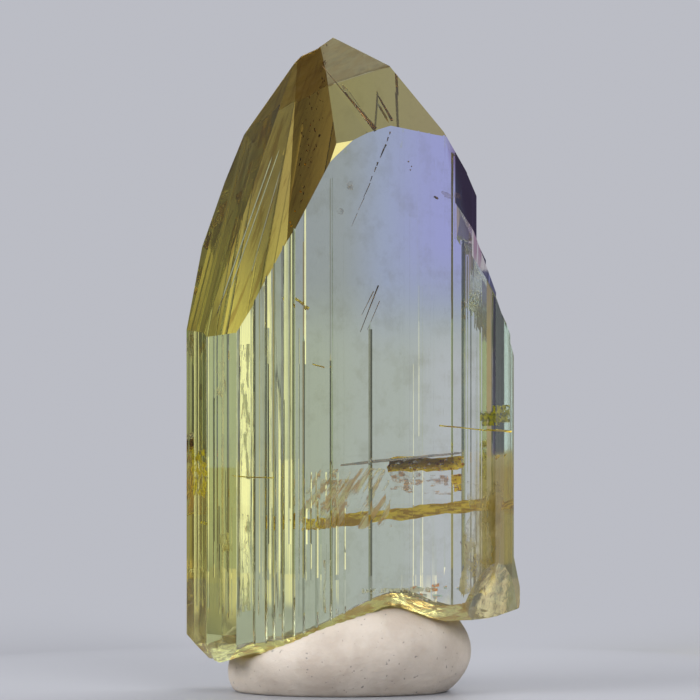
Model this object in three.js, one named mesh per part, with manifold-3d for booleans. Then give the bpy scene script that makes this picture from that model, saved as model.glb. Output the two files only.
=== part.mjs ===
import * as THREE from 'three';
import { mergeVertices } from 'three/addons/utils/BufferGeometryUtils.js';
import Module from 'manifold-3d';

// A natural tanzanite crystal pressed into a small lump of mounting putty. Millimetres, +Z up.
// The origin is on the table under the middle of the putty. The broad striated front face looks
// along -Y, the steep left termination is on the -X side and the growth steps are on the +X side.

const wasm = await Module();
wasm.setup();

// Driving dimensions of the prism
const FRONT_Y = -3.4;
const BACK_Y = 3.3;
const LEFT_X = -6.94;
const RIGHT_X = 7;
const PRISM_TOP = 30;
const CUTTER_SIZE = 60;

// Driving dimensions of the tip: where the ridge between the two halves of the tip meets the skyline
const SADDLE = [-1.4, 0.1, 26.89];

// Driving dimensions of the broken base
const BASE_HEIGHT = 2.35;
const BASE_TILT = 0.158;
const ARCH_HEIGHT = 1.12;
const ARCH_X = 1.35;
const ARCH_HALF_WIDTH = 2;
const FRONT_CHIP = { height: 0.72, slope: 1.05 };
const LEFT_CHIP = { x: -6.05, z: 1.5, slope: 0.95 };
const BACK_CHIP = { width: 0.5, slope: 0.9 };
const RIPPLES = [
  { height: 0.07, perX: 2.1, perY: 0.8 },
  { height: 0.06, perX: -1.1, perY: 3.3 },
];

// Driving dimensions of the putty
const PUTTY_GAP = 0.1;
const PUTTY_CENTRE = [-0.2, 0, 1.5];
const PUTTY_RADII = [5.1, 4.05, 2.9];
const PUTTY_LEAN = THREE.MathUtils.degToRad(-7);
const FINGER_DENTS = [
  { depth: 0.035, perX: 3, perY: 2, perZ: 0 },
  { depth: 0.03, perX: 0, perY: 4, perZ: -3 },
];

// Turning three.js geometry into solids and back

function solidFrom(geometry) {
  const bare = geometry.clone();
  bare.deleteAttribute('normal');
  bare.deleteAttribute('uv');
  const merged = mergeVertices(bare);
  return new wasm.Manifold(new wasm.Mesh({
    numProp: 3,
    vertProperties: new Float32Array(merged.attributes.position.array),
    triVerts: new Uint32Array(merged.index.array),
  }));
}

function geometryFrom(solid) {
  const { vertProperties, triVerts } = solid.getMesh();
  const geometry = new THREE.BufferGeometry();
  geometry.setAttribute('position', new THREE.BufferAttribute(new Float32Array(vertProperties), 3));
  geometry.setIndex(new THREE.BufferAttribute(new Uint32Array(triVerts), 1));
  const flat = geometry.toNonIndexed();
  flat.computeVertexNormals();
  return flat;
}

function joined(solids) {
  return solids.reduce((sum, solid) => sum.add(solid));
}

// Cutters bounded by one plane

function blockAlong(direction, point) {
  const block = new THREE.BoxGeometry(CUTTER_SIZE, CUTTER_SIZE, CUTTER_SIZE);
  block.translate(0, 0, CUTTER_SIZE / 2);
  const up = new THREE.Vector3(0, 0, 1);
  block.applyQuaternion(new THREE.Quaternion().setFromUnitVectors(up, direction.normalize()));
  block.translate(...point);
  return solidFrom(block);
}

// Everything above a plane that rises by rise[0] per mm along X and rise[1] per mm along Y
function blockAbove({ at, rise }) {
  return blockAlong(new THREE.Vector3(-rise[0], -rise[1], 1), at);
}

// Everything beyond an upright plane whose outward side faces the given azimuth, counted from +X
function blockBeyond({ at, facing }) {
  const angle = THREE.MathUtils.degToRad(facing);
  return blockAlong(new THREE.Vector3(Math.cos(angle), Math.sin(angle), 0), [...at, 0]);
}

// The prism, as a plan outline drawn upwards

// The narrow growth terraces between the left faces and the front face: each one is a flat tread that
// comes forward to its right side, where a thin furrow and a short riser lead to the next
const FRONT_TERRACES = [
  { from: -4.85, to: -4.05, y: -3, rise: 0.19, furrow: 0.07 },
  { from: -4.05, to: -3.56, y: -3.15, rise: 0.03, furrow: 0.09 },
  { from: -3.56, to: -3.24, y: -3.2, rise: 0.05, furrow: 0.07 },
  { from: -3.24, to: -2.86, y: -3.26, rise: 0.02, furrow: 0.08 },
  { from: -2.86, to: -2.42, y: -3.31, rise: 0.05, furrow: 0.06 },
];

const FURROW_LIP = 0.05;

function terracePoints({ from, to, y, rise, furrow }) {
  return [
    [from, y],
    [to - 2 * FURROW_LIP, y - rise],
    [to - FURROW_LIP, y - rise + furrow],
  ];
}

const FRONT_OUTLINE = [
  ...FRONT_TERRACES.flatMap(terracePoints),
  [-2.4, FRONT_Y],
  [-0.7, FRONT_Y + 0.08],
  [1.5, FRONT_Y + 0.1],
  [3.4, FRONT_Y],
  [5.55, FRONT_Y - 0.02],
];

const RIGHT_OUTLINE = [
  [5.92, -3.18],
  [6.28, -2.66],
  [6.62, -1.86],
  [RIGHT_X - 0.05, -0.9],
  [RIGHT_X, 0.3],
  [6.72, 1.1],
  [6.2, 2.25],
  [5.3, 2.95],
];

const BACK_OUTLINE = [
  [4.2, BACK_Y - 0.12],
  [4.12, BACK_Y],
  [1.6, BACK_Y + 0.06],
  [1.5, BACK_Y - 0.04],
  [-0.9, BACK_Y],
  [-1, BACK_Y - 0.16],
  [-3.1, BACK_Y - 0.2],
  [-3.2, BACK_Y - 0.4],
  [-4.5, 2.88],
  [-5.35, 2.81],
  [-6.3, 2.35],
];

const LEFT_OUTLINE = [
  [LEFT_X, 0.5],
  [-6.1, -1.51],
];

function prism() {
  const outline = [...FRONT_OUTLINE, ...RIGHT_OUTLINE, ...BACK_OUTLINE, ...LEFT_OUTLINE];
  const shape = new THREE.Shape(outline.map(([x, y]) => new THREE.Vector2(x, y)));
  return solidFrom(new THREE.ExtrudeGeometry(shape, { depth: PRISM_TOP, bevelEnabled: false }));
}

// Striations: fine furrows along the prism, each as wide and deep as stated, tapering out at both ends

const FRONT_FURROWS = [
  { x: -2.05, low: 2, high: 15.2, width: 0.1, depth: 0.05 },
  { x: -1.5, low: 1.5, high: 8.6, width: 0.14, depth: 0.05 },
  { x: -0.92, low: 2, high: 14.4, width: 0.09, depth: 0.05 },
  { x: -0.35, low: 2, high: 6.4, width: 0.12, depth: 0.04 },
  { x: 0.72, low: 2, high: 15.7, width: 0.16, depth: 0.07 },
  { x: 2.08, low: 2, high: 23.9, width: 0.08, depth: 0.04 },
  { x: 2.3, low: 2, high: 20.5, width: 0.12, depth: 0.05 },
  { x: 2.72, low: 8.4, high: 24.2, width: 0.07, depth: 0.04 },
  { x: 3.16, low: 11.2, high: 24.2, width: 0.08, depth: 0.04 },
  { x: 3.42, low: 2, high: 22.2, width: 0.1, depth: 0.05 },
  { x: 3.78, low: 5.1, high: 24.2, width: 0.12, depth: 0.06 },
  { x: 4.2, low: 7.6, high: 21.2, width: 0.09, depth: 0.05 },
  { x: 4.5, low: 3, high: 19.6, width: 0.08, depth: 0.04 },
  { x: 4.86, low: 3, high: 18.7, width: 0.12, depth: 0.06 },
  { x: 5.12, low: 6.2, high: 18, width: 0.08, depth: 0.04 },
  { x: 5.36, low: 3, high: 17.4, width: 0.09, depth: 0.05 },
];

// The back is striated like the front. Its furrows stray from an even spacing, and from an even
// length, by waves of their own: each wave has a size in mm and a turn in radians from furrow to furrow
const BACK_FURROW_COUNT = 13;
const BACK_FURROW_SPAN = [-4.1, 5.2];
const BACK_FURROW_STRAY = { size: 0.22, turn: 2.4 };
const BACK_FURROW_LOW = { middle: 3, size: 2, turn: 3.1 };
const BACK_FURROW_HIGH = { middle: 20, size: 3.5, turn: 1.7 };
const BACK_FURROW_WIDTHS = [0.1, 0.13, 0.16];
const BACK_FURROW_DEPTH = 0.05;

function wave({ middle = 0, size, turn }, index) {
  return middle + size * Math.sin(index * turn);
}

function backFurrow(index) {
  const share = index / (BACK_FURROW_COUNT - 1);
  return {
    x: THREE.MathUtils.lerp(...BACK_FURROW_SPAN, share) + wave(BACK_FURROW_STRAY, index),
    low: wave(BACK_FURROW_LOW, index),
    high: wave(BACK_FURROW_HIGH, index),
    width: BACK_FURROW_WIDTHS[index % BACK_FURROW_WIDTHS.length],
    depth: BACK_FURROW_DEPTH,
  };
}

const BACK_FURROWS = Array.from({ length: BACK_FURROW_COUNT }, (_, index) => backFurrow(index));

// Where the upright outline stands at a given x, taken on its front or its back
function outlineY(outline, x) {
  for (let i = 1; i < outline.length; i += 1) {
    const [[x0, y0], [x1, y1]] = [outline[i - 1], outline[i]];
    const share = (x - x0) / (x1 - x0);
    if (share >= 0 && share <= 1) {
      return THREE.MathUtils.lerp(y0, y1, share);
    }
  }
  return outline[0][1];
}

const FURROW_TAPER = 0.35;

// A four-sided blade from one point to another, pointed at both ends
function bladeBetween(start, end, width, depth) {
  const length = start.distanceTo(end);
  const profile = [
    new THREE.Vector2(0, 0),
    new THREE.Vector2(1, FURROW_TAPER),
    new THREE.Vector2(1, length - FURROW_TAPER),
    new THREE.Vector2(0, length),
  ];
  const blade = new THREE.LatheGeometry(profile, 4);
  blade.scale(width / 2, 1, depth);
  const along = end.clone().sub(start).normalize();
  blade.applyQuaternion(new THREE.Quaternion().setFromUnitVectors(new THREE.Vector3(0, 1, 0), along));
  blade.translate(start.x, start.y, start.z);
  return solidFrom(blade);
}

function furrow({ x, low, high, width, depth }, outline) {
  const y = outlineY(outline, x);
  return bladeBetween(new THREE.Vector3(x, y, low), new THREE.Vector3(x, y, high), width, depth);
}

// Faces of the tip, each named by where it lies and given as a sloping plane

const TIP_FACES = {
  farLeft: { at: [-6.1, -1.51, 15.07], rise: [2.372, 0.986] },
  left: { at: [-2.75, FRONT_Y, 18.88], rise: [2.05, 1.53] },
  leftInner: { at: [-2.75, FRONT_Y, 18.88], rise: [1.85, 1.55] },
  leftRear: { at: [-4.5, 2.83, 23.14], rise: [0.316, -1.27] },
  corner: { at: [-0.4, -3.35, 22.75], rise: [0.9, 3] },
  rightInner: { at: [0.6, -3.3, 23.53], rise: [0.5, 1.303] },
  right: { at: [0.6, -3.3, 23.53], rise: [0.3, 1.162] },
  rightOuter: { at: [1.58, -3.3, 23.82], rise: [-0.15, 0.968] },
  rightRear: { at: [-0.83, 0.3, 27.28], rise: [-0.51, -0.07] },
  rightShoulder: { at: [1.75, -1.2, 25.9], rise: [-1.232, -0.07] },
  rightFall: { at: [3.5, -3.3, 24.03], rise: [-1.75, -0.07] },
};

// Behind the skyline the two halves of the tip end at different heights, so each has a face of its own
const LEFT_CREST = { at: SADDLE, rise: [-0.241, -0.87] };
const RIGHT_CREST = { at: SADDLE, rise: [0.707, -0.07] };
const CREST_PARTING = { at: [SADDLE[0], SADDLE[1]], facing: 11 };

// A point on a sloping plane
function onFace({ at, rise }, x, y) {
  return new THREE.Vector3(x, y, at[2] + rise[0] * (x - at[0]) + rise[1] * (y - at[1]));
}

// Straight growth lines on the faces of the tip, beside the edges that they run along
const TIP_LINES = [
  { face: TIP_FACES.left, from: [-5.72, -1.5], to: [-3.35, -0.3], width: 0.1, depth: 0.06 },
  { face: TIP_FACES.left, from: [-5.1, -1.55], to: [-3.05, -0.5], width: 0.08, depth: 0.05 },
  { face: TIP_FACES.left, from: [-4.3, -2.3], to: [-3, -1.1], width: 0.12, depth: 0.05 },
  { face: TIP_FACES.right, from: [0.82, -3.2], to: [-0.5, -1.35], width: 0.2, depth: 0.07 },
  { face: TIP_FACES.right, from: [1.5, -3.2], to: [0.95, -2.3], width: 0.12, depth: 0.06 },
];

function tipLine({ face, from, to, width, depth }) {
  return bladeBetween(onFace(face, ...from), onFace(face, ...to), width, depth);
}

function tipCutter() {
  const faces = Object.values(TIP_FACES).map(blockAbove);
  const rightHalf = blockBeyond(CREST_PARTING);
  return joined([
    ...faces,
    blockAbove(RIGHT_CREST).intersect(rightHalf),
    blockAbove(LEFT_CREST).subtract(rightHalf),
  ]);
}

// Growth steps of the right flank: above each tread the crystal is narrower, ending at its own side
// and at its own front bevel

const GROWTH_STEPS = [
  { bevelX: 3.92, sideX: 4.74, treadZ: 21.6, fall: -1.8 },
  { bevelX: 4.25, sideX: 5.14, treadZ: 18.8, fall: -1.5 },
  { bevelX: 4.62, sideX: 5.53, treadZ: 17.85, fall: -2.2 },
  { bevelX: 4.95, sideX: 5.96, treadZ: 16.3, fall: -1.6 },
  { bevelX: 5.4, sideX: 6.58, treadZ: 14.95, fall: -2.2 },
  { bevelX: 6.05, sideX: 6.76, treadZ: 6.1, fall: -3.4 },
];
const TREAD_RISE_Y = -0.6;
const TREAD_Y = -2.6;
const BEVEL_FACING = -45;
const SIDE_FACING = 4;

function growthStep({ bevelX, sideX, treadZ, fall }) {
  const above = blockAbove({ at: [sideX, TREAD_Y, treadZ], rise: [fall, TREAD_RISE_Y] });
  const side = blockBeyond({ at: [sideX, TREAD_Y], facing: SIDE_FACING });
  const bevel = blockBeyond({ at: [bevelX, FRONT_Y], facing: BEVEL_FACING });
  return above.intersect(side.add(bevel));
}

// The broken base: a block whose top is the uneven fracture, lowered by a gap for the putty

function fractureHeight(x, y) {
  const arch = ARCH_HEIGHT * Math.exp(-(((x - ARCH_X) / ARCH_HALF_WIDTH) ** 2));
  const ripple = RIPPLES.reduce(
    (sum, { height, perX, perY }) => sum + height * Math.sin(perX * x + perY * y),
    0,
  );
  const floor = BASE_HEIGHT + BASE_TILT * x + arch + ripple;
  const frontChip = floor + FRONT_CHIP.height - FRONT_CHIP.slope * (y - FRONT_Y);
  const leftChip = LEFT_CHIP.z + LEFT_CHIP.slope * (LEFT_CHIP.x - x);
  const backChip = floor + BACK_CHIP.slope * (y - BACK_Y + BACK_CHIP.width);
  return Math.max(floor, frontChip, leftChip, backChip);
}

function fractureCutter(gap) {
  const [width, depth, height] = [16, 9, 8];
  const [stepsAcross, stepsDeep] = [40, 24];
  const block = new THREE.BoxGeometry(width, depth, height, stepsAcross, stepsDeep, 1);
  const position = block.attributes.position;
  for (let i = 0; i < position.count; i += 1) {
    const x = position.getX(i);
    const y = position.getY(i);
    const top = fractureHeight(x, y) - gap;
    position.setZ(i, position.getZ(i) > 0 ? top : top - height);
  }
  return solidFrom(block);
}

// Shell-like chips: shallow spherical hollows at the corners of the base
const CHIPS = [
  { at: [5.35, -2.75, 4.5], away: [0.7, -0.58, -0.42], radius: 5 },
  { at: [6.75, 0.6, 4.3], away: [0.9, 0.1, -0.6], radius: 4 },
  { at: [-6.55, -0.7, 2.2], away: [-0.75, -0.5, -0.6], radius: 3 },
  { at: [-5.6, 2.4, 2.6], away: [-0.5, 0.6, -0.7], radius: 5 },
];

const CHIP_SEGMENTS = 56;

function chip({ at, away, radius }) {
  const ball = new THREE.SphereGeometry(radius, CHIP_SEGMENTS, CHIP_SEGMENTS / 2);
  const centre = new THREE.Vector3(...away).setLength(radius).add(new THREE.Vector3(...at));
  ball.translate(centre.x, centre.y, centre.z);
  return solidFrom(ball);
}

function crystal() {
  const cutters = joined([
    tipCutter(),
    ...TIP_LINES.map(tipLine),
    ...GROWTH_STEPS.map(growthStep),
    fractureCutter(0),
    ...CHIPS.map(chip),
    ...FRONT_FURROWS.map((one) => furrow(one, FRONT_OUTLINE)),
    ...BACK_FURROWS.map((one) => furrow(one, [...BACK_OUTLINE].reverse())),
  ]);
  return prism().subtract(cutters);
}

// The putty: a squat rounded lump, uneven from the fingers, flat below and moulded to the crystal above

const PUTTY_SEGMENTS = 44;

function fingerDent({ x, y, z }) {
  return FINGER_DENTS.reduce(
    (sum, { depth, perX, perY, perZ }) => sum + depth * Math.sin(perX * x + perY * y + perZ * z),
    0,
  );
}

function putty() {
  const lump = new THREE.SphereGeometry(1, PUTTY_SEGMENTS, PUTTY_SEGMENTS / 2);
  lump.rotateX(Math.PI / 2);
  const position = lump.attributes.position;
  const point = new THREE.Vector3();
  for (let i = 0; i < position.count; i += 1) {
    point.fromBufferAttribute(position, i);
    point.multiplyScalar(1 + fingerDent(point) * (1 - point.z ** 2));
    position.setXYZ(i, point.x, point.y, point.z);
  }
  lump.scale(...PUTTY_RADII);
  lump.rotateY(PUTTY_LEAN);
  lump.translate(...PUTTY_CENTRE);
  const table = blockAlong(new THREE.Vector3(0, 0, -1), [0, 0, 0]);
  return solidFrom(lump).subtract(table).intersect(fractureCutter(PUTTY_GAP));
}

function piece(name, solid, material) {
  const mesh = new THREE.Mesh(geometryFrom(solid), material);
  mesh.name = name;
  return mesh;
}

const tanzanite = new THREE.MeshStandardMaterial({ color: 0x9aa392, roughness: 0.05, metalness: 0 });
const palePutty = new THREE.MeshStandardMaterial({ color: 0xb6b0a5, roughness: 0.75, metalness: 0 });

const specimen = new THREE.Group();
specimen.add(piece('crystal', crystal(), tanzanite));
specimen.add(piece('putty_foot', putty(), palePutty));

export default specimen;
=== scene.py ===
"""Looks of a natural tanzanite crystal that stands in a small lump of mounting putty.

The crystal is clear, trichroic and striated: pale blue-green and lavender through its broad front,
olive at the narrow left faces and the tip, with stained fractures, veils and needles inside.
Pale films inside paint highlights and light into the crystal, and the tip's olive faces carry painted shade.
Metres, +Z up, the front looks along -Y.
"""

import logging
import math
import random
from dataclasses import dataclass, field
from enum import Enum

import bmesh
import bpy
from mathutils import Euler, Matrix, Vector, noise


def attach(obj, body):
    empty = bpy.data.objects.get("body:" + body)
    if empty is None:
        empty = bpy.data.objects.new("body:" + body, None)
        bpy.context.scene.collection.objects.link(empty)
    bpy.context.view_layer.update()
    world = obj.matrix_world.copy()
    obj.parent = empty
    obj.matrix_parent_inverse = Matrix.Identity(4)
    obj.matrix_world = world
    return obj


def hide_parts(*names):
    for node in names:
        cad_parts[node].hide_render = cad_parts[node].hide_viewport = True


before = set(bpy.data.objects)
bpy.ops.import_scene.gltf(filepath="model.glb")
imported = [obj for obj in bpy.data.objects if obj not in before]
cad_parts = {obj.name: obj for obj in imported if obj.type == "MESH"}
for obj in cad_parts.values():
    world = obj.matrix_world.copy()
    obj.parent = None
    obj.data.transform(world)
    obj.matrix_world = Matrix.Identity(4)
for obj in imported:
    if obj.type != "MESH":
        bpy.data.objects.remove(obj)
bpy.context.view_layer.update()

MM = 0.001
PER_MM = 1 / MM
BODY = "root"
MERGE_DISTANCE = 0.001 * MM
SPIN_MERGE_DISTANCE = 0.01 * MM
CUT_DISTANCE = 0.002 * MM

Colour = tuple[float, float, float]
Triple = tuple[float, float, float]
Span = tuple[float, float]
Stops = tuple[tuple[float, Colour], ...]
Socket = bpy.types.NodeSocket
log = logging.getLogger("specimen")

WHITE: Colour = (1.0, 1.0, 1.0)


def smoothstep(low: float, high: float, value: float) -> float:
    """Eases from 0 to 1.

    Args:
        low: Where the step starts.
        high: Where the step ends.
        value: Where it is read.

    Returns:
        0 before low, 1 after high, and a smooth curve between them.
    """
    share = min(max((value - low) / (high - low), 0.0), 1.0)
    return share * share * (3 - 2 * share)


def finished(bm: bmesh.types.BMesh, name: str, material: bpy.types.Material) -> bpy.types.Object:
    """Turns a bmesh into an object of the scene.

    Args:
        bm: The shape, in place, which is freed.
        name: The object's name.
        material: Its one finish.

    Returns:
        The new object, at the origin, unturned and unscaled.
    """
    mesh = bpy.data.meshes.new(name)
    bm.to_mesh(mesh)
    bm.free()
    mesh.materials.append(material)
    made = bpy.data.objects.new(name, mesh)
    bpy.context.scene.collection.objects.link(made)
    return made


def node_copy(node: str) -> bmesh.types.BMesh:
    """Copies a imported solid's mesh and merges its loose triangles.

    Args:
        node: The solid's name.

    Returns:
        The copy.
    """
    bm = bmesh.new()
    bm.from_mesh(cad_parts[node].data)
    bmesh.ops.remove_doubles(bm, verts=bm.verts, dist=MERGE_DISTANCE)
    return bm


def spun(profile: list[Span], steps: int) -> bmesh.types.BMesh:
    """Turns a profile once round the Z axis.

    Args:
        profile: Its points, as distances from the axis and heights.
        steps: How many sides the turned form has.

    Returns:
        The form, merged where it closes.
    """
    bm = bmesh.new()
    rim = [bm.verts.new((reach, 0, height)) for reach, height in profile]
    edges = [bm.edges.new(pair) for pair in zip(rim, rim[1:])]
    bmesh.ops.spin(
        bm,
        geom=[*rim, *edges],
        cent=(0, 0, 0),
        axis=(0, 0, 1),
        angle=math.tau,
        steps=steps,
        use_merge=True,
    )
    bmesh.ops.remove_doubles(bm, verts=bm.verts, dist=SPIN_MERGE_DISTANCE)
    return bm


def open_edges(bm: bmesh.types.BMesh) -> int:
    """The number of edges that don't join exactly two faces."""
    return sum(not edge.is_manifold for edge in bm.edges)


class NodeBench:
    """A new material and short ways to add and link its nodes."""

    def __init__(self, name: str) -> None:
        """Makes an empty material with only its output.

        Args:
            name: The material's name.
        """
        self.material = bpy.data.materials.new(name)
        self.material.use_nodes = True
        self.tree = self.material.node_tree
        self.tree.nodes.clear()
        self.output = self.tree.nodes.new("ShaderNodeOutputMaterial")

    def feed(self, socket: Socket, value: object) -> None:
        """Links a socket to another or sets its value.

        Args:
            socket: The input socket.
            value: An output socket, a number, a vector or a colour.
        """
        if isinstance(value, Socket):
            self.tree.links.new(value, socket)
        elif socket.type == "RGBA" and len(value) == 3:
            socket.default_value = (*value, 1.0)
        else:
            socket.default_value = value

    def add(self, kind: str, inputs: dict | None = None, **settings: object) -> bpy.types.Node:
        """Adds one node.

        Args:
            kind: The node's type without its ShaderNode prefix.
            inputs: Values or sockets by input name or number.
            **settings: Properties of the node.

        Returns:
            The node.
        """
        node = self.tree.nodes.new("ShaderNode" + kind)
        for key, value in settings.items():
            setattr(node, key, value)
        for key, value in (inputs or {}).items():
            self.feed(node.inputs[key], value)
        return node

    def place(self, scale: Triple = (PER_MM, PER_MM, PER_MM)) -> Socket:
        """The position on the object, in millimetres unless scaled otherwise."""
        coordinates = self.add("TexCoord").outputs["Object"]
        return self.add("Mapping", {"Vector": coordinates, "Scale": scale}).outputs["Vector"]

    def along(self, axis: str) -> Socket:
        """One coordinate of the position in millimetres, by its letter."""
        return self.add("SeparateXYZ", {"Vector": self.place()}).outputs[axis]

    def maths(self, operation: str, *values: object) -> Socket:
        """The result of one Math node."""
        return self.add("Math", dict(enumerate(values)), operation=operation).outputs[0]

    def both(self, first: object, second: object) -> Socket:
        """The product of two shares."""
        return self.maths("MULTIPLY", first, second)

    def noise(self, vector: object, scale: float, detail: float = 3, rough: float = 0.5) -> Socket:
        """A noise between about 0 and 1."""
        inputs = {"Vector": vector, "Scale": scale, "Detail": detail, "Roughness": rough}
        return self.add("TexNoise", inputs).outputs["Fac"]

    def step(self, value: object, low: float, high: float) -> Socket:
        """A smooth step.

        Args:
            value: What is read.
            low: Where the step is 0.
            high: Where it is 1, which may be below low.

        Returns:
            The step, between 0 and 1.
        """
        inputs = {"Value": value, "From Min": min(low, high), "From Max": max(low, high)}
        inputs |= {"To Min": float(low > high), "To Max": float(low <= high)}
        return self.add("MapRange", inputs, interpolation_type="SMOOTHSTEP").outputs["Result"]

    def mixed(self, factor: object, first: object, second: object, blend: str = "MIX") -> Socket:
        """Two colours mixed.

        Args:
            factor: The share of the second.
            first: The first colour.
            second: The second colour.
            blend: How they are mixed.

        Returns:
            The mixed colour.
        """
        node = self.add("Mix", data_type="RGBA", blend_type=blend)
        self.feed(node.inputs[0], factor)
        self.feed(node.inputs[6], first)
        self.feed(node.inputs[7], second)
        return node.outputs[2]

    def bump(self, height: object, distance: float, normal: object = None) -> Socket:
        """A normal from a height.

        Args:
            height: The height, between 0 and 1.
            distance: What a height of 1 stands for, in metres.
            normal: The normal that it starts from, where there is one.

        Returns:
            The normal.
        """
        node = self.add("Bump", {"Height": height, "Distance": distance, "Strength": 1.0})
        if normal is not None:
            self.feed(node.inputs["Normal"], normal)
        return node.outputs["Normal"]


class Zone(Enum):
    """The kinds of face on the crystal."""

    FRONT = "front"
    TERRACE = "terrace"
    LEFT_BROAD = "left_broad"
    LEFT_NARROW = "left_narrow"
    LEFT_REAR = "left_rear"
    BACK = "back"
    FLANK = "flank"
    STEP = "step"
    TIP_FAR_LEFT = "tip_far_left"
    TIP_LEFT = "tip_left"
    TIP_INNER = "tip_inner"
    TIP_RIGHT = "tip_right"
    TIP_SLOPE = "tip_slope"
    TIP_REAR = "tip_rear"
    CORNER = "corner"
    FRACTURE = "fracture"
    SHELL = "shell"


# Each kind of face: its tint, the share of the cloud of colour on it, how strongly it is striated
ZONE_LOOKS: dict[Zone, tuple[Colour, float, float]] = {
    Zone.FRONT: (WHITE, 1.0, 0.10),
    Zone.TERRACE: ((0.84, 0.87, 0.57), 0.5, 1.0),
    Zone.LEFT_BROAD: ((0.82, 0.82, 0.27), 0.0, 0.12),
    Zone.LEFT_NARROW: ((0.92, 0.84, 0.20), 0.0, 0.12),
    Zone.LEFT_REAR: ((0.80, 0.74, 0.30), 0.0, 0.5),
    Zone.BACK: (WHITE, 1.0, 0.08),
    Zone.FLANK: ((0.88, 0.92, 0.90), 0.9, 0.6),
    Zone.STEP: ((0.80, 0.70, 0.90), 1.0, 0.8),
    # The far-left and inner faces of the tip are tinted darker than the left face: their olive colour with
    # painted shade in it
    Zone.TIP_FAR_LEFT: ((0.40, 0.32, 0.01), 0.0, 0.1),
    Zone.TIP_LEFT: ((1.0, 0.80, 0.08), 0.0, 0.1),
    Zone.TIP_INNER: ((0.46, 0.26, 0.01), 0.0, 0.1),
    Zone.TIP_RIGHT: ((0.50, 0.34, 0.045), 0.0, 0.1),
    Zone.TIP_SLOPE: ((0.48, 0.32, 0.045), 0.0, 0.1),
    Zone.TIP_REAR: ((0.80, 0.76, 0.52), 0.0, 0.1),
    Zone.CORNER: ((0.86, 0.74, 0.24), 0.0, 0.1),
    Zone.FRACTURE: ((0.80, 0.68, 0.13), 0.0, 0.0),
    Zone.SHELL: ((1.0, 0.94, 0.52), 0.0, 0.0),
}

# Directions that tell the sloping faces of the tip apart
TIP_FACINGS: dict[Zone, Vector] = {
    Zone.TIP_FAR_LEFT: Vector((-0.860, -0.358, 0.363)),
    Zone.TIP_LEFT: Vector((-0.7465, -0.557, 0.364)),
    Zone.TIP_INNER: Vector((-0.708, -0.593, 0.383)),
    Zone.CORNER: Vector((-0.274, -0.913, 0.304)),
    Zone.TIP_RIGHT: Vector((-0.24, -0.75, 0.61)),
    Zone.TIP_SLOPE: Vector((0.107, -0.691, 0.714)),
    Zone.TIP_REAR: Vector((0.1, 0.75, 0.64)),
    Zone.STEP: Vector((0.836, 0.272, 0.478)),
}


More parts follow.
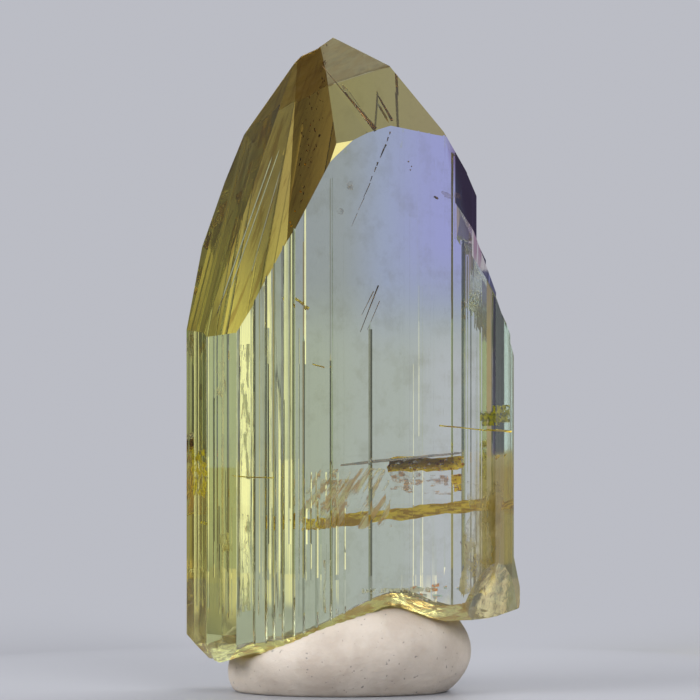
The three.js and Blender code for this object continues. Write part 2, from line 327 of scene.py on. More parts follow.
@dataclass(frozen=True)
class CrystalGlass:
    """Clear zoisite: refracting, faintly absorbing, tinted by the face's zone and by a lavender cloud."""

    ior: float = 1.69
    roughness: float = 0.012
    absorption: Colour = (0.010, 0.009, 0.012)
    pale_green: Colour = (0.80, 0.87, 0.72)
    leaf: Colour = (0.75, 0.83, 0.57)
    dull: Colour = (0.60, 0.66, 0.52)
    sky: Colour = (0.64, 0.73, 0.80)
    lavender: Colour = (0.64, 0.66, 1.0)
    pale: Colour = (0.92, 0.96, 0.91)
    olive: Colour = (0.55, 0.38, 0.05)
    veil: Colour = (0.86, 0.85, 0.80)
    purple: Colour = (0.26, 0.14, 0.34)
    # Multipliers for the tip's olive faces: a smoky tone towards the top that is partly painted shade, and
    # painted shadow in streaks
    smoke_and_shade: Colour = (0.50, 0.42, 0.72)
    streak_shadow: Colour = (0.50, 0.40, 0.34)
    crown: Colour = (1.0, 0.93, 0.62)
    rust: Colour = (0.62, 0.38, 0.24)

    # How fine each pattern is along each axis, per metre
    cloud_grain: Triple = (220, 220, 90)
    mottle_grain: Triple = (900, 900, 700)
    purple_grain: Triple = (4600, 4600, 70)
    line_grain: Triple = (5200, 5200, 55)
    smear_grain: Triple = (1100, 1100, 3800)

    # Where one colour turns into the next, in millimetres across or up
    sky_side: Span = (0.0, 2.2)
    sky_foot: Span = (15.0, 18.8)
    leaf_side: Span = (1.9, -1.2)
    lavender_side: Span = (1.4, 4.8)
    lavender_foot: Span = (16.4, 20.5)
    pale_side: Span = (2.6, 4.6)
    pale_top: Span = (17.5, 14.5)
    olive_side: Span = (4.6, 6.4)
    olive_top: Span = (10.6, 9.2)
    purple_rim: Span = (8.15, 8.60)
    purple_foot: Span = (20.8, 22.2)
    smoke_and_shade_foot: Span = (17.8, 23.2)
    crown_foot: Span = (25.66, 25.84)

    # How deep the bump of the growth lines and of the broken base is
    line_depth: float = 0.006 * MM
    break_depth: float = 0.14 * MM

    def cloud(self, bench: NodeBench) -> Socket:
        """Colour of the clear part by height and side.

        Args:
            bench: The material in the making.

        Returns:
            The colour: pale green below, blue to lavender above, olive and purple near the right edge.
        """
        x, z = bench.along("X"), bench.along("Z")
        soft = bench.noise(bench.place(self.cloud_grain), 1.0, 2)
        height = bench.maths("MULTIPLY_ADD", soft, 3.0, z)
        side = bench.maths("MULTIPLY_ADD", soft, 1.6, x)
        upper = bench.mixed(bench.step(side, *self.sky_side), self.dull, self.sky)
        lowest = bench.mixed(bench.step(side, *self.leaf_side), self.pale_green, self.leaf)
        blue = bench.mixed(bench.step(height, *self.sky_foot), lowest, upper)
        lean = bench.both(bench.step(side, *self.lavender_side), bench.step(height, *self.lavender_foot))
        violet = bench.mixed(lean, blue, self.lavender)
        lower = bench.both(bench.step(height, *self.pale_top), bench.step(side, *self.pale_side))
        bright = bench.mixed(lower, violet, self.pale)
        edge = bench.both(bench.step(z, *self.olive_top), bench.step(x, *self.olive_side))
        mottle = bench.noise(bench.place(self.mottle_grain), 1.0, 5, 0.62)
        veiled = bench.mixed(bench.step(mottle, 0.50, 0.66), bright, self.veil, "MULTIPLY")
        stained = bench.mixed(edge, veiled, self.olive)
        streaks = bench.noise(bench.place(self.purple_grain), 1.0, 3, 0.6)
        drawn = bench.maths("MULTIPLY_ADD", streaks, 6.0, z)
        rim = bench.maths("MULTIPLY_ADD", z, 0.19, x)
        deep = bench.both(bench.step(rim, *self.purple_rim), bench.step(drawn, *self.purple_foot))
        return bench.mixed(deep, stained, self.purple)

    def tip_shade(self, bench: NodeBench) -> Socket:
        """Smoky tone and painted shade of the olive faces by height, with painted shadow in streaks along
        their growth lines.

        Args:
            bench: The material in the making.

        Returns:
            The multiplier: clear and yellow low on the tip, smoky brown and darker towards its top, which is
                partly painted shade.
        """
        x, z = bench.along("X"), bench.along("Z")
        lean = bench.maths("MULTIPLY_ADD", z, -0.306, x)
        level = bench.both(z, 0.10)
        across = bench.both(lean, 2.6)
        run = bench.add("CombineXYZ", {"X": across, "Y": level, "Z": bench.along("Y")}).outputs[0]
        streaks = bench.noise(run, 1.6, 4, 0.6)
        # Darker towards the top: a smoky tone of the crystal, partly painted shade
        rise = bench.step(bench.maths("MULTIPLY_ADD", streaks, 3.0, z), *self.smoke_and_shade_foot)
        body = bench.mixed(rise, WHITE, self.smoke_and_shade)
        # Painted shadow: darker in streaks along the growth lines
        return bench.mixed(bench.step(streaks, 0.50, 0.34), body, self.streak_shadow, "MULTIPLY")

    def colour(self, bench: NodeBench, shares: object, tip: object) -> Socket:
        """Colour of the whole crystal.

        Args:
            bench: The material in the making.
            shares: The shares of cloud, growth lines and fracture on the face.
            tip: The share of the tip's painted shade and smoky tone on it.

        Returns:
            The face's tint with all that varies over it.
        """
        tint = bench.add("Attribute", attribute_name="zone_tint").outputs["Color"]
        clear = bench.mixed(shares["X"], WHITE, self.cloud(bench))
        top = bench.maths("MULTIPLY_ADD", bench.along("X"), -0.32, bench.along("Z"))
        body = bench.mixed(1.0, tint, clear, "MULTIPLY")
        body = bench.mixed(bench.step(top, *self.crown_foot), body, self.crown)
        shaded = bench.mixed(1.0, tint, self.tip_shade(bench), "MULTIPLY")
        smears = bench.noise(bench.place(self.smear_grain), 1.0, 5, 0.65)
        rusty = bench.both(bench.step(smears, 0.46, 0.56), shares["Z"])
        return bench.mixed(rusty, bench.mixed(tip, body, shaded), self.rust, "MULTIPLY")

    def relief(self, bench: NodeBench, shares: object) -> Socket:
        """Fine growth lines, and shells and pits where the crystal is broken.

        Args:
            bench: The material in the making.
            shares: The shares of cloud, growth lines and fracture on the face.

        Returns:
            The normal.
        """
        lines = bench.noise(bench.place(self.line_grain), 1.0, 4, 0.6)
        pits = bench.noise(bench.place(), 4.5, 5, 0.6)
        shells = bench.add("TexVoronoi", {"Vector": bench.place(), "Scale": 1.7}).outputs["Distance"]
        broken = bench.both(bench.maths("MULTIPLY_ADD", pits, 0.6, shells), shares["Z"])
        normal = bench.bump(bench.both(lines, shares["Y"]), self.line_depth)
        return bench.bump(broken, self.break_depth, normal)

    def make(self) -> bpy.types.Material:
        """Builds the material.

        Returns:
            The glass, which reads the mesh's zone_tint and zone_finish attributes.
        """
        bench = NodeBench("tanzanite_glass")
        finish = bench.add("Attribute", attribute_name="zone_finish").outputs
        shares = bench.add("SeparateXYZ", {"Vector": finish["Vector"]}).outputs
        shader = bench.add("BsdfPrincipled", {
            "Base Color": self.colour(bench, shares, finish["Alpha"]),
            "Roughness": self.roughness,
            "IOR": self.ior,
            "Transmission Weight": 1.0,
            "Normal": self.relief(bench, shares),
        })
        density = max(self.absorption)
        volume = bench.add("VolumeAbsorption", {
            "Color": tuple(1 - part / density for part in self.absorption),
            "Density": density * PER_MM,
        })
        bench.feed(bench.output.inputs["Surface"], shader.outputs[0])
        bench.feed(bench.output.inputs["Volume"], volume.outputs[0])
        return bench.material


@dataclass(frozen=True)
class PuttyClay:
    """Pale pinkish-beige putty: matte, faintly waxy, with fine grey specks."""

    light: Colour = (0.46, 0.405, 0.345)
    shade: Colour = (0.38, 0.325, 0.27)
    speck: Colour = (0.22, 0.20, 0.18)

    def make(self) -> bpy.types.Material:
        """Builds the material.

        Returns:
            The putty.
        """
        bench = NodeBench("putty_clay")
        cloud = bench.noise(bench.place(), 0.5, 4, 0.6)
        body = bench.mixed(bench.step(cloud, 0.35, 0.65), self.shade, self.light)
        grains = bench.noise(bench.place(), 5.5, 1)
        colour = bench.mixed(bench.step(grains, 0.70, 0.76), body, self.speck)
        dents = bench.noise(bench.place(), 2.2, 6, 0.62)
        shader = bench.add("BsdfPrincipled", {
            "Base Color": colour,
            "Roughness": 0.62,
            "Subsurface Weight": 0.25,
            "Subsurface Radius": (1.0, 0.75, 0.55),
            "Subsurface Scale": 0.35 * MM,
            "Normal": bench.bump(dents, 0.05 * MM),
        })
        bench.feed(bench.output.inputs["Surface"], shader.outputs[0])
        return bench.material


@dataclass(frozen=True)
class StainFilm:
    """A stain on an inner fracture, also used for films of painted highlights and light: patchy, see-through
    between its patches.

    The grain is how fine the patches are along each axis, per millimetre, turned by the lean in degrees.
    """

    name: str
    light: Colour
    dark: Colour
    grain: Triple = (2.6, 1.6, 2.6)
    least: float = 0.1
    most: float = 0.9
    cover: Span = (0.36, 0.58)
    change: Span = (0.42, 0.60)
    roughness: float = 0.25
    lean: float = 0.0
    shine: float = 0.2

    def make(self) -> bpy.types.Material:
        """Builds the material.

        Returns:
            The film.
        """
        bench = NodeBench(self.name)
        coordinates = bench.add("TexCoord").outputs["Object"]
        place = bench.add("Mapping", {
            "Vector": coordinates,
            "Rotation": (0.0, math.radians(self.lean), 0.0),
            "Scale": tuple(MM / part for part in self.grain),
        }, vector_type="TEXTURE").outputs["Vector"]
        patches = bench.noise(place, 1.0, 5, 0.65)
        colour = bench.mixed(bench.step(patches, *self.change), self.light, self.dark)
        low, high = self.cover
        covered = bench.step(bench.noise(place, 0.7, 4, 0.6), low, high)
        alpha = bench.maths("MULTIPLY_ADD", covered, self.most - self.least, self.least)
        shader = bench.add("BsdfPrincipled", {
            "Base Color": colour,
            "Roughness": self.roughness,
            "Specular IOR Level": self.shine,
            "Alpha": alpha,
            "Normal": bench.bump(patches, 0.04 * MM),
        })
        bench.feed(bench.output.inputs["Surface"], shader.outputs[0])
        return bench.material


@dataclass(frozen=True)
class StudioPaper:
    """The floor: matte paper that glows evenly away from the specimen, so that no horizon shows."""

    glow: Colour = (0.497, 0.507, 0.556)
    paper: Colour = (0.262, 0.266, 0.288)
    near: float = 0.005
    far: float = 0.05

    def make(self) -> bpy.types.Material:
        """Builds the material.

        Returns:
            The paper.
        """
        bench = NodeBench("studio_paper")
        flat = bench.place((1, 1, 0))
        distance = bench.add("VectorMath", {0: flat}, operation="LENGTH").outputs["Value"]
        paper = bench.add("BsdfPrincipled", {"Base Color": self.paper, "Roughness": 0.35})
        glow = bench.add("Emission", {"Color": self.glow, "Strength": 1.0})
        both = bench.add("MixShader", {
            0: bench.step(distance, self.near, self.far),
            1: paper.outputs[0],
            2: glow.outputs[0],
        })
        bench.feed(bench.output.inputs["Surface"], both.outputs[0])
        return bench.material


@dataclass(frozen=True)
class CardGlow:
    """Bright and dark cards all round, as one glow that changes with the azimuth.

    Each stop is an azimuth in degrees from behind the specimen towards +X and the brightness there. The far
    stops take over between the two distances of the change, in millimetres.
    """

    name: str
    stops: Stops
    far_stops: Stops = ()
    change: Span = (165.0, 300.0)

    def ramp(self, bench: NodeBench, share: object, stops: Stops) -> Socket:
        """The brightness by azimuth.

        Args:
            bench: The material in the making.
            share: The azimuth as a share of the full turn.
            stops: The stops.

        Returns:
            The colour of the glow.
        """
        ramp = bench.add("ValToRGB", {"Fac": share})
        elements = ramp.color_ramp.elements
        while len(elements) < len(stops):
            elements.new(1.0)
        for element, (azimuth, shade) in zip(elements, stops):
            element.position = azimuth / 360 + 0.5
            element.color = (*shade, 1.0)
        return ramp.outputs["Color"]

    def make(self) -> bpy.types.Material:
        """Builds the material.

        Returns:
            The glowing cards.
        """
        bench = NodeBench(self.name)
        parts = bench.add("SeparateXYZ", {"Vector": bench.place()}).outputs
        turn = bench.maths("ARCTAN2", parts["X"], parts["Y"])
        share = bench.maths("MULTIPLY_ADD", turn, 1 / math.tau, 0.5)
        colour = self.ramp(bench, share, self.stops)
        if self.far_stops:
            flat = bench.place((PER_MM, PER_MM, 0))
            distance = bench.add("VectorMath", {0: flat}, operation="LENGTH").outputs["Value"]
            far = self.ramp(bench, share, self.far_stops)
            colour = bench.mixed(bench.step(distance, *self.change), colour, far)
        glow = bench.add("Emission", {"Color": colour, "Strength": 1.0})
        bench.feed(bench.output.inputs["Surface"], glow.outputs[0])
        return bench.material


BACKDROP: Colour = (0.497, 0.507, 0.556)
BLUE: Colour = (0.49, 0.50, 0.65)
DARK: Colour = (0.07, 0.07, 0.08)

# What the steep faces of the tip look down on
TIP_STOPS: Stops = (
    (-180, BACKDROP),
    (-165, BACKDROP),
    (-150, (0.20, 0.20, 0.22)),
    (-107, (0.20, 0.20, 0.24)),
    (-60, (0.16, 0.14, 0.16)),
    (-20, (0.30, 0.31, 0.34)),
    (-9, BACKDROP),
    (5.0, BACKDROP),
    (5.9, (1.15, 1.05, 0.74)),
    (8.5, (1.15, 1.00, 0.66)),
    (10, (0.48, 0.49, 0.50)),
    (16, (0.44, 0.45, 0.50)),
    (30, (0.24, 0.24, 0.20)),
    (36, (0.42, 0.40, 0.29)),
    (38.2, (0.38, 0.36, 0.26)),
    (39, (0.26, 0.24, 0.19)),
    (40, (0.24, 0.22, 0.17)),
    (41.6, (0.78, 0.70, 0.52)),
    (48, (0.80, 0.72, 0.54)),
    (51, (0.34, 0.32, 0.27)),
    (56, (0.32, 0.30, 0.24)),
    (65, (0.36, 0.34, 0.29)),
    (70, (0.90, 0.84, 0.74)),
    (77, (0.90, 0.84, 0.74)),
    (84, (0.45, 0.43, 0.40)),
    (110, (0.16, 0.16, 0.16)),
    (150, (0.16, 0.16, 0.16)),
    (165, BACKDROP),
    (180, BACKDROP),
)

# The same without its bright card, for what lies nearest
NEAR_STOPS = tuple((azimuth, BACKDROP if 2 < azimuth < 9 else shade) for azimuth, shade in TIP_STOPS)
TIP_GLOW = CardGlow("tip_glow", NEAR_STOPS, TIP_STOPS, (40.0, 46.0))

# What the lower part of the prism looks at
LOW_GLOW = CardGlow("low_glow", (
    (-180, BACKDROP),
    (-165, BACKDROP),
    (-152, (0.12, 0.12, 0.12)),
    (-112, (0.30, 0.29, 0.22)),
    (-84, (0.52, 0.44, 0.18)),
    (-74, (0.52, 0.44, 0.18)),
    (-60, (0.30, 0.25, 0.10)),
    (-50, (0.36, 0.29, 0.11)),
    (-38, (0.22, 0.20, 0.12)),
    (-26, (0.50, 0.42, 0.22)),
    (-16, (0.34, 0.34, 0.32)),
    (-10, BACKDROP),
    (5, BACKDROP),
    (5.8, (0.44, 0.47, 0.42)),
    (6.7, (0.56, 0.56, 0.50)),
    (7.4, (1.45, 1.32, 0.96)),
    (12, (1.45, 1.28, 0.90)),
    (18, (0.12, 0.12, 0.11)),
    (35, (0.12, 0.12, 0.11)),
    (39, (0.50, 0.52, 0.42)),
    (47, (0.46, 0.48, 0.38)),
    (56, (0.16, 0.16, 0.15)),
    (66, (0.20, 0.20, 0.18)),
    (72.5, (0.98, 0.96, 0.92)),
    (80, (0.98, 0.96, 0.92)),
    (87, (0.10, 0.10, 0.10)),
    (116, (0.12, 0.12, 0.12)),
    (124, (0.40, 0.40, 0.38)),
    (140, (0.14, 0.14, 0.14)),
    (165, BACKDROP),
))

# What the upper part of the prism looks at
HIGH_STOPS: Stops = (
    (-180, BACKDROP),
    (-165, BACKDROP),
    (-152, (0.12, 0.12, 0.12)),
    (-110, (0.12, 0.14, 0.16)),
    (-88, (0.70, 0.84, 0.92)),
    (-72, (0.80, 0.98, 1.06)),
    (-66, (0.05, 0.07, 0.08)),
    (-50, (0.03, 0.045, 0.055)),
    (-33.5, (0.07, 0.06, 0.09)),
    (-31, (0.32, 0.31, 0.46)),
    (-28, (0.34, 0.31, 0.40)),
    (-24, (0.46, 0.34, 0.18)),
    (-17, (0.36, 0.36, 0.40)),
    (-10, BACKDROP),
    (5, BACKDROP),
    (6.6, (0.44, 0.47, 0.42)),
    (8, (0.56, 0.56, 0.50)),
    (9, (1.45, 1.34, 0.98)),
    (12, (1.45, 1.30, 0.92)),
    (18, (0.10, 0.10, 0.09)),
    (35, (0.10, 0.10, 0.09)),
    (39, (0.50, 0.52, 0.42)),
    (47, (0.46, 0.48, 0.38)),
    (56, (0.14, 0.14, 0.13)),
    (66, (0.20, 0.20, 0.18)),
    (72.5, (0.98, 0.96, 0.92)),
    (80, (0.98, 0.96, 0.92)),
    (87, (0.10, 0.10, 0.10)),
    (116, (0.10, 0.10, 0.10)),
    (124, (0.40, 0.40, 0.38)),
    (140, (0.12, 0.12, 0.12)),
    (165, BACKDROP),
)

# The same with a bluer backdrop further out
TOP_STOPS = tuple(
    (azimuth, BLUE if shade is BACKDROP and abs(azimuth) < 20 else shade) for azimuth, shade in HIGH_STOPS
)
HIGH_GLOW = CardGlow("high_glow", HIGH_STOPS, TOP_STOPS)

# What reflections and the broken base look up at
WALL_GLOW = CardGlow("wall_glow", (
    (-180, (0.30, 0.31, 0.33)),
    (-100, (0.30, 0.31, 0.33)),
    (-85, DARK),
    (-50, DARK),
    (-43, (0.10, 0.09, 0.07)),
    (-38, (0.66, 0.58, 0.43)),
    (-30, (0.76, 0.69, 0.56)),
    (-20, BACKDROP),
    (20, BACKDROP),
    (60, (0.50, 0.48, 0.44)),
    (180, (0.30, 0.31, 0.33)),
))


@dataclass
class Striation:
    """One fine furrow along the prism."""

    along: float
    low: float
    high: float
    half_width: float
    depth: float

    def depth_at(self, along: float, height: float) -> float:
        """Depth of the furrow at a place on its face.

        Args:
            along: Place across the face.
            height: Height on the crystal.

        Returns:
            The depth, which falls to nothing at the sides and at both ends.
        """
        across = abs(along - self.along) / self.half_width
        if across >= 1:
            return 0.0
        taper = 1.4 * MM
        foot = smoothstep(self.low, self.low + taper, height)
        top = smoothstep(self.high, self.high - taper, height)
        return self.depth * (1 - across) * foot * top


@dataclass
class StriatedSide:
    """A side of the prism that carries fine furrows."""

    facing: Vector
    span: Span
    heights: Span
    count: int
    depth: float
    width: float
    seed: int
    row: float = 1.5 * MM
    alike: float = 0.97

    @property
    def across(self) -> Vector:
        """The level direction along the side."""
        return Vector((-self.facing.y, self.facing.x, 0))

    def striations(self) -> list[Striation]:
        """The furrows, spaced unevenly.

        Returns:
            One furrow for each of the count.
        """
        draw = random.Random(self.seed)
        start, end = self.span
        low, high = self.heights
        made = []
        for index in range(self.count):
            share = (index + draw.uniform(0.15, 0.85)) / self.count
            middle = draw.uniform(low, high)
            reach = draw.uniform(0.2, 0.75) * (high - low)
            made.append(Striation(
                along=start + share * (end - start),
                low=max(low, middle - reach),
                high=min(high, middle + reach),
                half_width=self.width * draw.uniform(0.35, 1.4),
                depth=self.depth * draw.uniform(0.3, 1.0),
            ))
        return made

    def faces(self, bm: bmesh.types.BMesh) -> list[bmesh.types.BMFace]:
        """The faces of the crystal that look this side's way."""
        return [face for face in bm.faces if face.normal.dot(self.facing) > self.alike]

    def cut(self, bm: bmesh.types.BMesh, point: Vector, normal: Vector) -> None:
        """Splits the side's faces along one plane.

        Args:
            bm: The crystal.
            point: A point on the plane.
            normal: The plane's normal.
        """
        chosen = self.faces(bm)
        edges = {edge for face in chosen for edge in face.edges}
        verts = {vert for face in chosen for vert in face.verts}
        geometry = [*chosen, *edges, *verts]
        bmesh.ops.bisect_plane(bm, geom=geometry, plane_co=point, plane_no=normal, dist=CUT_DISTANCE)

    def engrave(self, bm: bmesh.types.BMesh) -> None:
        """Cuts the furrows into the side.

        Args:
            bm: The crystal.
        """
        furrows = self.striations()
        for furrow in furrows:
            for place in (-1, 0, 1):
                along = furrow.along + place * furrow.half_width
                self.cut(bm, self.across * along, self.across)
        height = self.heights[0]
        while height < self.heights[1]:
            self.cut(bm, Vector((0, 0, height)), Vector((0, 0, 1)))
            height += self.row
        for vert in {vert for face in self.faces(bm) for vert in face.verts}:
            along = vert.co.dot(self.across)
            depth = max((furrow.depth_at(along, vert.co.z) for furrow in furrows), default=0.0)
            vert.co -= self.facing * depth


# The plain outlines of the front and of the back seen from above, in millimetres, without their furrows
FRONT_LINE = ((-2.3, -3.396), (-0.7, -3.32), (1.5, -3.3), (3.4, -3.4), (5.5, -3.42))
BACK_LINE = ((-3.08, 3.1), (-1.0, 3.14), (-0.9, 3.3), (1.48, 3.26), (1.62, 3.36), (4.1, 3.3))

# The outline that the left of the back is raised to
RAISED_LINE = ((-3.08, 3.1), (-1.0, 3.285), (-0.9, 3.3))

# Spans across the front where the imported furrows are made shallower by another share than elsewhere
FRONT_EASE = ((-0.98, -0.86, 0.0), (0.60, 0.84, 0.25), (1.9, 5.6, 0.94))


def line_at(line: tuple[Span, ...], x: float) -> float:
    """Reads an outline.

    Args:
        line: Its points, from left to right.
        x: Where it is read.

    Returns:
        Its y there.
    """
    for (x0, y0), (x1, y1) in zip(line, line[1:]):
        if x0 <= x <= x1:
            return y0 + (y1 - y0) * (x - x0) / (x1 - x0)
    return line[0][1]


@dataclass
class CrystalBody:
    """The crystal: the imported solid's own form with fine furrows and a finer broken base."""

    node: str = "crystal"
    flat_angle: float = math.radians(0.4)
    prism_low: float = 3.4 * MM
    prism_high: float = 23.5 * MM
    eased: float = 0.8
    back_eased: float = 0.94
    glass: CrystalGlass = field(default_factory=CrystalGlass)

    # The depths of a packed furrow that is eased, and how far up furrows start, in millimetres
    furrow_depths: Span = (0.012, 0.12)
    furrow_foot: float = 3.4

    # Where the kinds of face meet, in millimetres
    base_top: float = 6.0
    shell_left: float = 4.9
    flank_left: float = 5.4
    terrace_right: float = -2.4
    broad_right: float = -4.8
    rear_right: float = -6.0
    narrow_right: float = -6.05
    rear_front: float = 0.4
    back_front: float = 2.4

    # How far a normal leans before a face is of another kind
    uneven: float = 0.04
    sloping: float = 0.15
    backwards: float = 0.5
    rightwards: float = 0.85
    leftwards: float = 0.4

    def sides(self) -> list[StriatedSide]:
        """The striated sides.

        Returns:
            The front, the back, the broad left side and the right flank.
        """
        heights = (self.prism_low, self.prism_high)
        low_heights = (self.prism_low, 9.6 * MM)
        front, back, broad = Vector((0, -1, 0)), Vector((0, 1, 0)), Vector((-0.766, -0.643, 0))
        return [
            StriatedSide(front, (-4.0 * MM, -1.9 * MM), heights, 10, 0.018 * MM, 0.05 * MM, 11),
            StriatedSide(front, (-2.0 * MM, -0.3 * MM), low_heights, 9, 0.03 * MM, 0.05 * MM, 14),
            StriatedSide(front, (2.0 * MM, 5.5 * MM), heights, 6, 0.004 * MM, 0.07 * MM, 15),
            StriatedSide(back, (-4.8 * MM, -2.0 * MM), heights, 6, 0.004 * MM, 0.07 * MM, 12),
            StriatedSide(back, (2.6 * MM, 4.6 * MM), heights, 5, 0.015 * MM, 0.06 * MM, 16),
            StriatedSide(broad, (-2.4 * MM, -0.6 * MM), (3.4 * MM, 13.5 * MM), 5, 0.02 * MM, 0.05 * MM, 13),
        ]

    def ease_share(self, place: Vector) -> float:
        """How much shallower a packed furrow is made.

        Args:
            place: A place on it, in millimetres.

        Returns:
            The share of its depth that goes.
        """
        if place.y > 0:
            return self.back_eased
        for low, high, share in FRONT_EASE:
            if low < place.x < high:
                return share
        return self.eased

    def ease(self, bm: bmesh.types.BMesh) -> None:
        """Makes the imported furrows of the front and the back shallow.

        Args:
            bm: The crystal.
        """
        for vert in bm.verts:
            place = vert.co * PER_MM
            side = FRONT_LINE if place.y < 0 else BACK_LINE
            outward = -1 if place.y < 0 else 1
            depth = outward * (line_at(side, place.x) - place.y)
            inside = side[0][0] < place.x < side[-1][0] and place.z > self.furrow_foot
            if inside and self.furrow_depths[0] < depth < self.furrow_depths[1]:
                vert.co.y += outward * depth * self.ease_share(place) * MM
            if place.y > self.back_front and RAISED_LINE[0][0] < place.x < RAISED_LINE[-1][0]:
                vert.co.y += (line_at(RAISED_LINE, place.x) - line_at(BACK_LINE, place.x)) * MM

    def zone(self, face: bmesh.types.BMFace) -> Zone:
        """Tells what kind of face this is.

        Args:
            face: A face of the crystal.

        Returns:
            Its kind.
        """
        normal = face.normal
        place = face.calc_center_median() * PER_MM
        if place.z < self.base_top and abs(normal.z) > self.uneven:
            return Zone.SHELL if place.x > self.shell_left and place.y < 0 else Zone.FRACTURE
        if normal.z > self.sloping:
            return max(TIP_FACINGS, key=lambda kind: TIP_FACINGS[kind].dot(normal))
        if place.y > self.back_front and normal.y > self.backwards:
            return Zone.BACK
        if place.x > self.flank_left or normal.x > self.rightwards:
            return Zone.FLANK
        if place.x < self.rear_right and place.y > self.rear_front:
            return Zone.LEFT_REAR
        if place.x < self.narrow_right:
            return Zone.LEFT_NARROW
        if normal.x < -self.leftwards and place.x < self.broad_right:
            return Zone.LEFT_BROAD if place.y < 0 else Zone.LEFT_REAR
        return Zone.TERRACE if place.x < self.terrace_right and place.y < 0 else Zone.FRONT

    def mark_zones(self, bm: bmesh.types.BMesh) -> None:
        """Writes each face's tint and finish to the mesh.

        Args:
            bm: The crystal.
        """
        tint = bm.loops.layers.float_color.new("zone_tint")
        finish = bm.loops.layers.float_color.new("zone_finish")
        for face in bm.faces:
            zone = self.zone(face)
            colour, clear, striated = ZONE_LOOKS[zone]
            rough = {Zone.FRACTURE: 1.0, Zone.SHELL: 0.25}.get(zone, 0.0)
            # The alpha marks the left faces of the tip, which take the painted shade that darkens them
            # towards the top and in streaks
            tip = float(zone in (Zone.TIP_FAR_LEFT, Zone.TIP_LEFT, Zone.TIP_INNER))
            for loop in face.loops:
                loop[tint] = (*colour, 1.0)
                loop[finish] = (clear, striated, rough, tip)

    def build(self) -> bpy.types.Object:
        """Makes the crystal.

        Returns:
            The crystal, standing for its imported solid.
        """
        bm = node_copy(self.node)
        for name in [*bm.loops.layers.uv.keys()]:
            bm.loops.layers.uv.remove(bm.loops.layers.uv[name])
        bmesh.ops.dissolve_limit(
            bm,
            angle_limit=self.flat_angle,
            use_dissolve_boundaries=False,
            verts=bm.verts,
            edges=bm.edges,
            delimit=set(),
        )
        self.ease(bm)
        for side in self.sides():
            side.engrave(bm)
        self.mark_zones(bm)
        log.info("crystal: %d faces, %d open edges", len(bm.faces), open_edges(bm))
        made = finished(bm, "crystal_body", self.glass.make())
        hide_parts(self.node)
        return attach(made, BODY)


@dataclass(frozen=True)
class Sheet:
    """One thin wavy sheet inside the crystal, given by its middle, its length, its depth and its tilts.

    Distances are millimetres, tilts are degrees about X, Y and Z.
    """

    middle: Triple
    length: float
    depth: float
    tilts: Triple = (0.0, 0.0, 0.0)
    ripple: float = 0.05
    ragged: float = 0.12
    thickness: float = 0.012
    cells: int = 28

    def grow(self, bm: bmesh.types.BMesh, draw: random.Random) -> None:
        """Adds the sheet to a mesh.

        Args:
            bm: The mesh.
            draw: The seeded randomness.
        """
        grown = bmesh.ops.create_grid(bm, x_segments=self.cells, y_segments=8, size=0.5)["verts"]
        seed = draw.uniform(0, 50)
        for vert in grown:
            x, y = vert.co.x * self.length, vert.co.y * self.depth
            edge = 2 * max(abs(vert.co.x), abs(vert.co.y))
            sideways = noise.noise((x * 2.3, y * 2.3, seed))
            inwards = noise.noise((x * 3.1, y * 3.1, seed + 9))
            broad = noise.noise((x * 0.9, y * 0.7, seed + 20))
            wave = broad + 0.4 * noise.noise((x * 3.3, y * 2.1, seed + 30))
            stray = Vector((sideways, inwards, 0)) * self.ragged * edge
            vert.co = Vector((x, y, self.ripple * wave)) + stray
        turn = Euler([math.radians(tilt) for tilt in self.tilts]).to_matrix().to_4x4()
        bmesh.ops.transform(bm, matrix=Matrix.Translation(Vector(self.middle)) @ turn, verts=grown)
        faces = list(dict.fromkeys(face for vert in grown for face in vert.link_faces))
        bmesh.ops.solidify(bm, geom=faces, thickness=self.thickness)


@dataclass(frozen=True)
class Stroke:
    """One straight needle inside the crystal, in millimetres."""

    start: Triple
    end: Triple
    radius: float = 0.02
    narrowing: float = 0.4

    def grow(self, bm: bmesh.types.BMesh, draw: random.Random) -> None:
        """Adds the needle to a mesh.

        Args:
            bm: The mesh.
            draw: The seeded randomness.
        """
        start, end = Vector(self.start), Vector(self.end)
        way = start - end
        turn = way.to_track_quat("Z", "Y").to_matrix().to_4x4()
        bmesh.ops.create_cone(
            bm,
            cap_ends=True,
            segments=6,
            radius1=self.radius * self.narrowing,
            radius2=self.radius * draw.uniform(0.8, 1.1),
            depth=way.length,
            matrix=Matrix.Translation((start + end) / 2) @ turn,
        )


@dataclass(frozen=True)
class Speck:
    """One rounded grain inside the crystal, in millimetres."""

    middle: Triple
    radius: float
    stretch: Triple = (1.0, 1.0, 1.0)

    def grow(self, bm: bmesh.types.BMesh, draw: random.Random) -> None:
        """Adds the grain to a mesh.

        Args:
            bm: The mesh.
            draw: The seeded randomness.
        """
        turn = Matrix.Rotation(draw.uniform(-0.6, 0.6), 4, "Y")
        place = Matrix.Translation(Vector(self.middle)) @ turn @ Matrix.Diagonal((*self.stretch, 1.0))
        grown = bmesh.ops.create_icosphere(bm, subdivisions=2, radius=self.radius, matrix=place)["verts"]
        for vert in grown:
            vert.co += 0.3 * self.radius * noise.noise_vector(vert.co / self.radius)


@dataclass
class Inclusion:
    """A group of sheets, needles or grains inside the crystal that share one finish."""

    name: str
    film: StainFilm
    grains: tuple[Sheet | Stroke | Speck, ...]
    seed: int = 5

    def build(self) -> bpy.types.Object:
        """Makes the group.

        Returns:
            The group as one piece that rides with the crystal.
        """
        draw = random.Random(self.seed)
        noise.seed_set(self.seed)
        bm = bmesh.new()
        for grain in self.grains:
            grain.grow(bm, draw)
        bmesh.ops.scale(bm, vec=(MM, MM, MM), verts=bm.verts)
        bmesh.ops.recalc_face_normals(bm, faces=bm.faces)
        log.info("%s: %d faces, %d open edges", self.name, len(bm.faces), open_edges(bm))
        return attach(finished(bm, self.name, self.film.make()), BODY)


